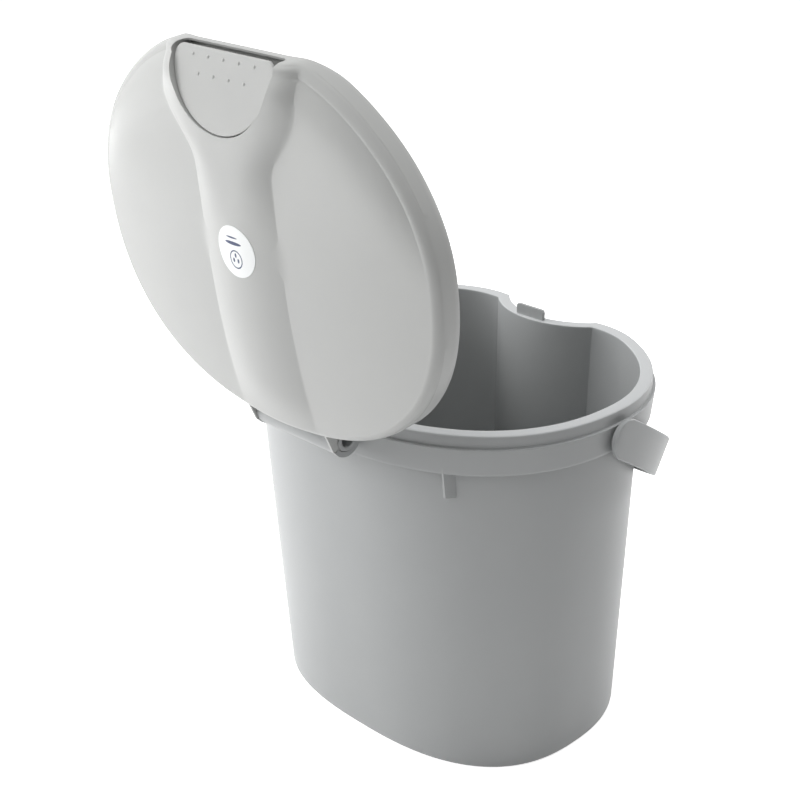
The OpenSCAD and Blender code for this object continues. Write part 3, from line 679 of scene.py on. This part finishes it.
def make_lid():
    """The lid's shell with its well, shelf, axle box and cheeks, cut out for the press panel."""
    crown = float(top_z(0, 0))
    lid = ring_solid("lid_moulding", lid_rings(), [0, 0, crown - LID_T], [0, 0, crown])
    combine(lid, [rod_x("room", -CHEEK_IN, CHEEK_IN, HINGE_Y, HINGE_Z, BARREL_R + 0.8)], "DIFFERENCE")
    t, half = LID_T, AXLE_BOX_HALF
    box = block("box", -half - t, half + t, AXLE_BOX_FRONT - t, AXLE_BOX_BACK + t,
                AXLE_BOX_Z - t, WELL_Z + t)
    combine(lid, [well_wall(), well_floor(), front_shelf(), box] + hinge_cheeks(), "UNION")
    hole = cut_circle(HOLE_R, HOLE_FRONT, HOLE_CORNER, corner_count=3)
    opening = prism("opening", hole, WELL_Z + t, ABOVE_LID_Z, "z")
    above = WELL_Z + t + 1
    slot = block("slot", -SLOT_HALF, SLOT_HALF, SLOT_FRONT, SLOT_BACK, LID_FOOT_Z, above)
    pocket = block("pocket", -half, half, AXLE_BOX_FRONT, AXLE_BOX_BACK, AXLE_BOX_Z, above)
    eyes = [rod_x("eye", *span(side, EYE_IN, EYE_OUT), HINGE_Y, HINGE_Z, PIN_R + SLIP) for side in (-1, 1)]
    combine(lid, [opening, lip_cutter(), pocket, slot] + eyes, "DIFFERENCE")
    return open_object(lid)


# Press panel
DOTS = [(x, -115.6) for x in (-28, -14, 0, 14, 28)] + [(x, -105.4) for x in (-21, -7, 7, 21)]
PANEL_MIDDLE = np.array([0, -96.0])


def panel_height(y):
    """Height along the panel's middle: it falls from the round end by a slope and a square."""
    u = PANEL_BACK - np.asarray(y, float)
    return PANEL_BACK_Z - 0.147 * u - 0.00277 * u * u


def panel_outline(inset):
    """The panel from above, drawn in by inset."""
    return cut_circle(PANEL_R - inset, PANEL_FACE - inset, PANEL_CORNER - inset)


def panel_ring(inset, below, share=1.0):
    """A ring at a depth below the panel's top: its outline drawn in, then scaled to the middle."""
    ring = PANEL_MIDDLE + (panel_outline(inset) - PANEL_MIDDLE) * share
    return np.column_stack([ring, panel_height(ring[:, 1]) - below])


def make_panel():
    """The press panel: a thin plate with rounded edges, a side wall round its back that dies away
    at the front corners, legs on the axle and the hook."""
    angle = np.radians([90, 67.5, 45, 22.5, 0])
    r = PANEL_EDGE_R
    top = [panel_ring(r - r * math.cos(a), r - r * math.sin(a)) for a in angle[::-1]]
    shares = np.linspace(0.94, 0.1, 14)
    top += [panel_ring(r, 0, s) for s in shares]
    low = [panel_ring(PANEL_T, PANEL_T, s) for s in shares[::-1]] + [panel_ring(PANEL_T, PANEL_T)]
    wall = panel_outline(0)
    no_wall = CROWN_Z
    hem = np.interp(wall[:, 1], [-PANEL_FACE, -114, -108, PANEL_BACK],
                    [no_wall, no_wall, RIM_Z + 6.5, RIM_Z + 12])

    def side(inset, edge_z, share):
        """A ring on the side wall, a share of the way from the plate's edge to the hem."""
        ring = panel_ring(inset, 0)
        z = lerp(edge_z, np.minimum(hem, edge_z - 0.05), share)
        return np.column_stack([ring[:, :2], z])

    under = panel_height(wall[:, 1]) - PANEL_T
    rings = low + [side(PANEL_T, low[-1][:, 2], s) for s in (0.4, 0.96)]
    rings += [side(PANEL_T - 0.3, np.minimum(under, low[-1][:, 2]), 1), side(0.3, under, 1)]
    rings += [side(0, under, s) for s in (0.96, 0.4)] + top
    middle = float(panel_height(PANEL_MIDDLE[1]))
    panel = ring_solid("panel_moulding", np.array(rings), [*PANEL_MIDDLE, middle - PANEL_T],
                       [*PANEL_MIDDLE, middle], 50)
    legs = []
    for x in LEG_X:
        outline = arc_points((AXLE_Y, AXLE_Z), LEG_R, 180, 330, 40) + [(AXLE_Y + 1.2, AXLE_Z + 2)]
        outline += [(y, float(panel_height(y)) - PANEL_T / 2) for y in (AXLE_Y + 1.2, AXLE_Y - LEG_R)]
        legs.append(prism("leg", outline, x, x + LEG_T, "x"))
    top_at = float(panel_height(HOOK_Y)) - PANEL_T / 2
    hook = [(HOOK_Y, HOOK_Z), (HOOK_Y + 3.7, HOOK_Z), (HOOK_Y + 3.7, HOOK_Z + 1.5),
            (HOOK_Y + 1.8, HOOK_Z + 3.1), (HOOK_Y + 1.8, top_at), (HOOK_Y, top_at)]
    legs.append(prism("hook", hook, -HOOK_HALF, HOOK_HALF, "x"))
    combine(panel, legs, "UNION")
    axle = rod_x("axle_room", -20, 20, AXLE_Y, AXLE_Z, AXLE_R + SLIP)
    combine(panel, [axle], "DIFFERENCE")
    return open_object(panel)


def make_dots():
    """Grip dots: low spherical caps in two rows, standing on the panel's top."""
    r, lowest = DOT_R, 118
    place = np.array(DOTS, float)
    angle = np.radians(np.linspace(lowest, 12, 8))[:, None]
    turn = np.radians(np.arange(0, 360, 15))[None, :]
    cap = np.stack([r * np.sin(angle) * np.cos(turn), r * np.sin(angle) * np.sin(turn),
                    r * np.cos(angle) + 0 * turn], axis=-1)
    one = np.vstack([cap.reshape(-1, 3), [0, 0, r * math.cos(math.radians(lowest))], [0, 0, r]])
    centre = np.column_stack([place, panel_height(place[:, 1]) - r * DOT_SUNK])
    faces = ring_faces(*cap.shape[:2])
    points = (centre[:, None, :] + one[None]).reshape(-1, 3)
    every = [[v + k * len(one) for v in face] for k in range(len(place)) for face in faces]
    return open_object(make_object("grip_dots", points, every))


# Handle
def strap_curve(x_grow, t):
    """The strap's course seen from above: the front half of a superellipse grown by x_grow."""
    return ((HANDLE_HALF + x_grow) * power(np.cos(t), 2 / HANDLE_POWER),
            (HANDLE_REACH + x_grow) * power(np.sin(t), 2 / HANDLE_POWER))


def make_handle():
    """The strap: a rounded oblong carried round the course, its ends narrowed to half circles,
    then lowered about the pivots; a hub, a peg and a peg head stand inside each end."""
    half, edge = STRAP_W / 2, STRAP_EDGE_R
    corner_t = np.radians(np.linspace(0, 90, 6))
    quarter = [(edge * math.cos(a), edge * math.sin(a)) for a in corner_t]
    sides = [(1, 1, quarter), (-1, 1, quarter[::-1]), (-1, -1, quarter), (1, -1, quarter[::-1])]
    section = np.array([((STRAP_T / 2 + sx * (STRAP_T / 2 - edge)) + sx * dx,
                         sy * (half - edge) + sy * dy) for sx, sy, q in sides for dx, dy in q])
    ends = half * np.sin(np.radians(np.linspace(88, 6, 14)))
    t = np.linspace(math.pi, 2 * math.pi, 181)
    depth = section[:, 0][None, :]
    width = section[:, 1][None, :]
    x_arc, y_arc = strap_curve(depth, t[:, None])
    z_arc = width + 0 * x_arc
    share = np.sqrt(1 - (ends / half) ** 2)[:, None]
    left = np.stack([-(HANDLE_HALF + depth) + 0 * share, ends[:, None] + 0 * depth, width * share], -1)
    right = left[::-1] * [-1, 1, 1]
    rings = np.concatenate([left, np.stack([x_arc, y_arc, z_arc], -1), right])
    tip = HANDLE_HALF + STRAP_T / 2
    strap = ring_solid("handle_strap", lower(rings), lower([-tip, half, 0]), lower([tip, half, 0]), 50)
    inside = []
    for side in (-1, 1):
        for name, x0, x1, r in (("hub", -1.3, 1.7, 7.0), ("peg", -7.3, 1.7, 5.0), ("head", -7.3, -5.8, 6.2)):
            ends_x = span(side, HANDLE_HALF + x0, HANDLE_HALF + x1)
            inside.append(rod_x(name, *ends_x, PIVOT_Y, PIVOT_Z, r, 0.3, 64))
    return combine(strap, inside, "UNION")


def lower(points):
    """Turn handle points down by the rest angle and set them on the pivots."""
    p = np.array(points, float)
    turn = math.radians(REST_ANGLE)
    y, z = p[..., 1].copy(), p[..., 2].copy()
    p[..., 1] = PIVOT_Y + y * math.cos(turn) - z * math.sin(turn)
    p[..., 2] = PIVOT_Z + y * math.sin(turn) + z * math.cos(turn)
    return p


def make_pin(name, side):
    """A hinge pin: a plug with a flange round its outer end and a blind bore from that end."""
    start, end = BARREL_HALF - PIN_DEPTH, CHEEK_OUT + 1.3
    flange = CHEEK_OUT + 0.3
    profile = [(start, PIN_R - 0.4), (start + 0.4, PIN_R), (flange, PIN_R), (flange, PIN_FLANGE_R),
               (end - 0.5, PIN_FLANGE_R), (end - 0.15, PIN_FLANGE_R - 0.15), (end, PIN_FLANGE_R - 0.5),
               (end, PIN_BORE_R + 0.4), (end - 0.12, PIN_BORE_R + 0.12), (end - 0.4, PIN_BORE_R),
               (start + 1.5, PIN_BORE_R)]
    if side < 0:
        profile = [(-x, r) for x, r in profile[::-1]]
    return revolve_x(name, profile, HINGE_Y, HINGE_Z)


def make_sticker():
    """The round sticker: a thin disc that follows the raised band's crown. Its own map holds the
    place on the flat disc, from minus one to one."""
    t = np.linspace(0, 2 * np.pi, 96, endpoint=False)
    shares = np.array([0.2, 0.4, 0.6, 0.8, 0.93, 1.0])

    def ring(share, up):
        """A ring at a share of the radius, at a height above the band."""
        x, y = STICKER_R * share * np.cos(t), STICKER_R * share * np.sin(t) + STICKER_Y
        return np.column_stack([x, y, top_z(x, y) + up])

    rings = [ring(s, 0.0) for s in shares] + [ring(s, STICKER_T) for s in shares[::-1]]
    crown = float(top_z(0, STICKER_Y))
    sticker = ring_solid("sticker_film", rings, [0, STICKER_Y, crown], [0, STICKER_Y, crown + STICKER_T])
    flat = np.empty(len(sticker.data.vertices) * 3)
    sticker.data.vertices.foreach_get("co", flat)
    flat = flat.reshape(-1, 3) / MM
    disc = np.column_stack([flat[:, 0] / STICKER_R, (flat[:, 1] - STICKER_Y) / STICKER_R])
    corner_vertex = np.empty(len(sticker.data.loops), dtype=np.int32)
    sticker.data.loops.foreach_get("vertex_index", corner_vertex)
    sticker.data.uv_layers.new(name="disc").data.foreach_set("uv", disc[corner_vertex].ravel())
    return open_object(sticker)


# Materials
def across(millimetres):
    """Noise scale whose features are about this many millimetres across."""
    return 1000 / millimetres


def new_material(name):
    """A material with an empty node tree, and that tree."""
    material = bpy.data.materials.new(name)
    material.use_nodes = True
    material.node_tree.nodes.clear()
    return material, material.node_tree


def seen_rays(tree):
    """One for camera, glossy and transmission rays, and nought for the rays that light things."""
    path = add_node(tree, "ShaderNodeLightPath")
    seen = path.outputs["Is Camera Ray"]
    for kind in ("Is Glossy Ray", "Is Transmission Ray"):
        either = add_node(tree, "ShaderNodeMath", {"operation": "MAXIMUM"}, i0=seen, i1=path.outputs[kind])
        seen = either.outputs[0]
    return seen


def painted_rim_light(tree, place, tint, rim_light_colour):
    """Painted light on the rim's top land, which is all that lies at the rim's height: a paler colour that
    stands in for the light falling on it from above.
    """
    height = add_node(tree, "ShaderNodeSeparateXYZ", Vector=place).outputs["Z"]
    above = add_node(tree, "ShaderNodeMapRange", Value=height, From_Min=(RIM_Z - 1.0) * MM,
                     From_Max=(RIM_Z - 0.3) * MM)
    below = add_node(tree, "ShaderNodeMath", {"operation": "LESS_THAN"}, i0=height, i1=(RIM_Z + 0.4) * MM)
    share = add_node(tree, "ShaderNodeMath", {"operation": "MULTIPLY"}, i0=above.outputs["Result"],
                     i1=below.outputs[0])
    return add_node(tree, "ShaderNodeMix", {"data_type": "RGBA"}, i0=share.outputs[0], i6=tint,
                    i7=srgb(rim_light_colour)).outputs[2]


def moulded_plastic(name, colour, second, roughness, spread, wave, rim_light_colour=None):
    """Moulded polypropylene: grey through and through, with a faint cloudiness from the moulding,
    a fine grain that softens its gloss, slow sink waves and slightly rounded edges. The rim light
    colour, where given, is painted light: a paler rim top land that stands in for the light from above."""
    material, tree = new_material(name)
    place = add_node(tree, "ShaderNodeTexCoord").outputs["Object"]
    cloud = add_node(tree, "ShaderNodeTexNoise", Vector=place, Scale=across(70), Detail=3.0, Roughness=0.55)
    grain = add_node(tree, "ShaderNodeTexNoise", Vector=place, Scale=across(0.7), Detail=1.0, Roughness=0.5)
    sink = add_node(tree, "ShaderNodeTexNoise", Vector=place, Scale=across(48), Detail=1.0, Roughness=0.4)
    tint = add_node(tree, "ShaderNodeMix", {"data_type": "RGBA"}, i0=cloud.outputs["Fac"],
                    i6=srgb(colour), i7=srgb(second)).outputs[2]
    # Painted light: the rim's top land is made paler, as if lit from above
    if rim_light_colour:
        tint = painted_rim_light(tree, place, tint, rim_light_colour)
    blur = add_node(tree, "ShaderNodeMapRange", Value=grain.outputs["Fac"], From_Min=0.3, From_Max=0.7,
                    To_Min=roughness - spread, To_Max=roughness + spread)
    edge = add_node(tree, "ShaderNodeBevel", {"samples": 6}, Radius=0.5 * MM)
    slow = add_node(tree, "ShaderNodeBump", Strength=wave, Distance=0.4 * MM, Height=sink.outputs["Fac"],
                    Normal=edge.outputs["Normal"])
    fine = add_node(tree, "ShaderNodeBump", Strength=0.05, Distance=0.02 * MM, Height=grain.outputs["Fac"],
                    Normal=slow.outputs["Normal"])
    shader = add_node(tree, "ShaderNodeBsdfPrincipled", Base_Color=tint,
                      Roughness=blur.outputs["Result"], IOR=1.49, Normal=fine.outputs["Normal"])
    add_node(tree, "ShaderNodeOutputMaterial", Surface=shader.outputs["BSDF"])
    return material


def drawn_steel():
    """Drawn steel wire and rod: a grey metal with fine streaks that break up its gloss."""
    material, tree = new_material("drawn_steel")
    place = add_node(tree, "ShaderNodeTexCoord").outputs["Object"]
    stretch = add_node(tree, "ShaderNodeMapping", Vector=place, Scale=(0.05, 1, 1))
    streak = add_node(tree, "ShaderNodeTexNoise", Vector=stretch.outputs["Vector"], Scale=across(0.4),
                      Detail=3.0)
    blur = add_node(tree, "ShaderNodeMapRange", Value=streak.outputs["Fac"], To_Min=0.2, To_Max=0.45)
    bump = add_node(tree, "ShaderNodeBump", Strength=0.2, Distance=0.02 * MM, Height=streak.outputs["Fac"])
    shader = add_node(tree, "ShaderNodeBsdfPrincipled", Base_Color=srgb("#b9bbbd"), Metallic=1.0,
                      Roughness=blur.outputs["Result"], Normal=bump.outputs["Normal"])
    add_node(tree, "ShaderNodeOutputMaterial", Surface=shader.outputs["BSDF"])
    return material


def printed_film():
    """Printed label film: white vinyl with a small navy ring round three drops, and two bars."""
    material, tree = new_material("printed_film")
    disc = add_node(tree, "ShaderNodeUVMap", {"uv_map": "disc"}).outputs["UV"]
    place = add_node(tree, "ShaderNodeTexCoord").outputs["Object"]

    def calc(operation, first, second=0.0, third=0.0):
        """A sum done by a Math node, on up to three values."""
        node = add_node(tree, "ShaderNodeMath", {"operation": operation}, i0=first, i1=second, i2=third)
        return node.outputs[0]

    parts = add_node(tree, "ShaderNodeSeparateXYZ", Vector=disc)
    u, v = parts.outputs["X"], parts.outputs["Y"]

    def oval(x, y, half_u, half_v):
        """One inside an oval about (x, y), with a sharp printed edge."""
        a = calc("POWER", calc("ABSOLUTE", calc("DIVIDE", calc("SUBTRACT", u, x), half_u)), 2.0)
        b = calc("POWER", calc("ABSOLUTE", calc("DIVIDE", calc("SUBTRACT", v, y), half_v)), 2.0)
        return calc("LESS_THAN", calc("ADD", a, b), 1.0)

    outline = calc("SUBTRACT", oval(0, 0.3, 0.34, 0.36), oval(0, 0.3, 0.29, 0.31))
    drops = calc("MAXIMUM", oval(-0.12, 0.34, 0.05, 0.09), oval(0.12, 0.34, 0.05, 0.09))
    drops = calc("MAXIMUM", drops, oval(0, 0.14, 0.05, 0.09))
    bars = calc("MAXIMUM", oval(0.06, -0.32, 0.44, 0.07), oval(0.1, -0.54, 0.3, 0.035))
    print_mask = calc("MAXIMUM", outline, calc("MAXIMUM", drops, bars))
    grain = add_node(tree, "ShaderNodeTexNoise", Vector=place, Scale=across(1.2), Detail=2.0)
    tint = add_node(tree, "ShaderNodeMix", {"data_type": "RGBA"}, i0=print_mask, i6=srgb("#eceeee"),
                    i7=srgb("#27365e"))
    blur = add_node(tree, "ShaderNodeMapRange", Value=grain.outputs["Fac"], To_Min=0.28, To_Max=0.42)
    bump = add_node(tree, "ShaderNodeBump", Strength=0.08, Distance=0.03 * MM, Height=grain.outputs["Fac"])
    shader = add_node(tree, "ShaderNodeBsdfPrincipled", Base_Color=tint.outputs[2],
                      Roughness=blur.outputs["Result"], IOR=1.5, Normal=bump.outputs["Normal"])
    add_node(tree, "ShaderNodeOutputMaterial", Surface=shader.outputs["BSDF"])
    return material


# Satin outside, and a little glossier on the lid
# The satin's last colour is painted light: a paler rim top land that stands in for light from above
satin = moulded_plastic("moulded_polypropylene_satin", "#9fa1a2", "#a5a7a7", 0.42, 0.03, 0.1, "#c3c5c6")
gloss = moulded_plastic("moulded_polypropylene_gloss", "#aeafae", "#b3b4b2", 0.36, 0.03, 0.1)
steel = drawn_steel()
film = printed_film()


def fit_piece(obj, body, nodes, material):
    """Give a finished piece its material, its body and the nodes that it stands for."""
    obj.data.materials.clear()
    obj.data.materials.append(material)
    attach(obj, body)
    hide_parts(*nodes)


fit_piece(make_pail(), "base", ["pail"], satin)
fit_piece(make_pin("pin_left", -1), "base", ["hinge_pin_left"], satin)
fit_piece(make_pin("pin_right", 1), "base", ["hinge_pin_right"], satin)
fit_piece(make_lid(), "lid", ["lid_shell"], gloss)
fit_piece(make_sticker(), "lid", ["lid_sticker"], film)
fit_piece(make_panel(), "catch_panel", ["press_panel"], gloss)
fit_piece(make_dots(), "catch_panel", ["press_panel"], gloss)
fit_piece(make_handle(), "handle", ["carry_handle"], satin)

for name in ("panel_axle", "panel_spring"):
    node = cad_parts[name]
    node.data.materials.clear()
    node.data.materials.append(steel)


# Studio
def studio_floor():
    """Pale floor, which the camera sees as near white with the object's soft shadow on it."""
    material, tree = new_material("studio_floor")
    share = add_node(tree, "ShaderNodeMath", {"operation": "MULTIPLY"}, i0=seen_rays(tree), i1=FLOOR_GLOW)
    glow = add_node(tree, "ShaderNodeEmission", Color=(1, 1, 1, 1), Strength=share.outputs[0])
    matt = add_node(tree, "ShaderNodeBsdfDiffuse", Color=srgb("#f2f2f2"))
    both = add_node(tree, "ShaderNodeAddShader", i0=matt.outputs[0], i1=glow.outputs[0])
    add_node(tree, "ShaderNodeOutputMaterial", Surface=both.outputs[0])
    size = FLOOR_HALF
    floor = make_object("floor", [(-size, -size, 0), (size, -size, 0), (size, size, 0), (-size, size, 0)],
                        [[0, 1, 2, 3]])
    floor.data.materials.append(material)


def studio_world(strength):
    """An even soft light all round; the camera, gloss and glass see plain white."""
    world = bpy.data.worlds.new("studio")
    world.use_nodes = True
    tree = world.node_tree
    tree.nodes.clear()
    level = add_node(tree, "ShaderNodeMath", {"operation": "MAXIMUM"}, i0=seen_rays(tree), i1=strength)
    light = add_node(tree, "ShaderNodeBackground", Color=(1, 1, 1, 1), Strength=level.outputs[0])
    add_node(tree, "ShaderNodeOutputWorld", Surface=light.outputs[0])
    bpy.context.scene.world = world


def soft_lamp(name, place, aim, size, power_w, in_gloss):
    """A square soft lamp at a place in metres, turned to face the aim. Gloss shows it or not."""
    lamp = bpy.data.lights.new(name, "AREA")
    lamp.size = size
    lamp.energy = power_w
    obj = bpy.data.objects.new(name, lamp)
    obj.location = place
    obj.rotation_euler = (Vector(aim) - Vector(place)).to_track_quat("-Z", "Y").to_euler()
    obj.visible_glossy = in_gloss
    bpy.context.scene.collection.objects.link(obj)


def studio_camera():
    """The camera at the photograph's viewing angle, from the fit to the outlines."""
    camera = bpy.data.cameras.new("camera")
    camera.sensor_width = 36
    camera.lens = 70.64
    camera.shift_x = -0.057
    camera.shift_y = -0.107
    obj = bpy.data.objects.new("camera", camera)
    obj.location = (-0.7177, 0.7526, 0.695)
    obj.rotation_euler = (math.radians(69.02), 0, math.radians(223.81))
    bpy.context.scene.collection.objects.link(obj)
    bpy.context.scene.camera = obj


studio_floor()
studio_world(0.12)
soft_lamp("key", (2.2, 1.1, 0.7), (0, 0.05, 0.25), 2.0, 85, False)
soft_lamp("overhead", (-0.2, 1.5, 1.9), (0, 0, 0.25), 1.6, 18, False)
soft_lamp("top", (0, -0.2, 2.4), (0, 0, 0.25), 0.8, 22, False)
soft_lamp("side", (-0.6, -2.0, 0.9), (0, 0, 0.25), 0.7, 16, True)
studio_camera()
bpy.context.scene.view_settings.view_transform = "Standard"
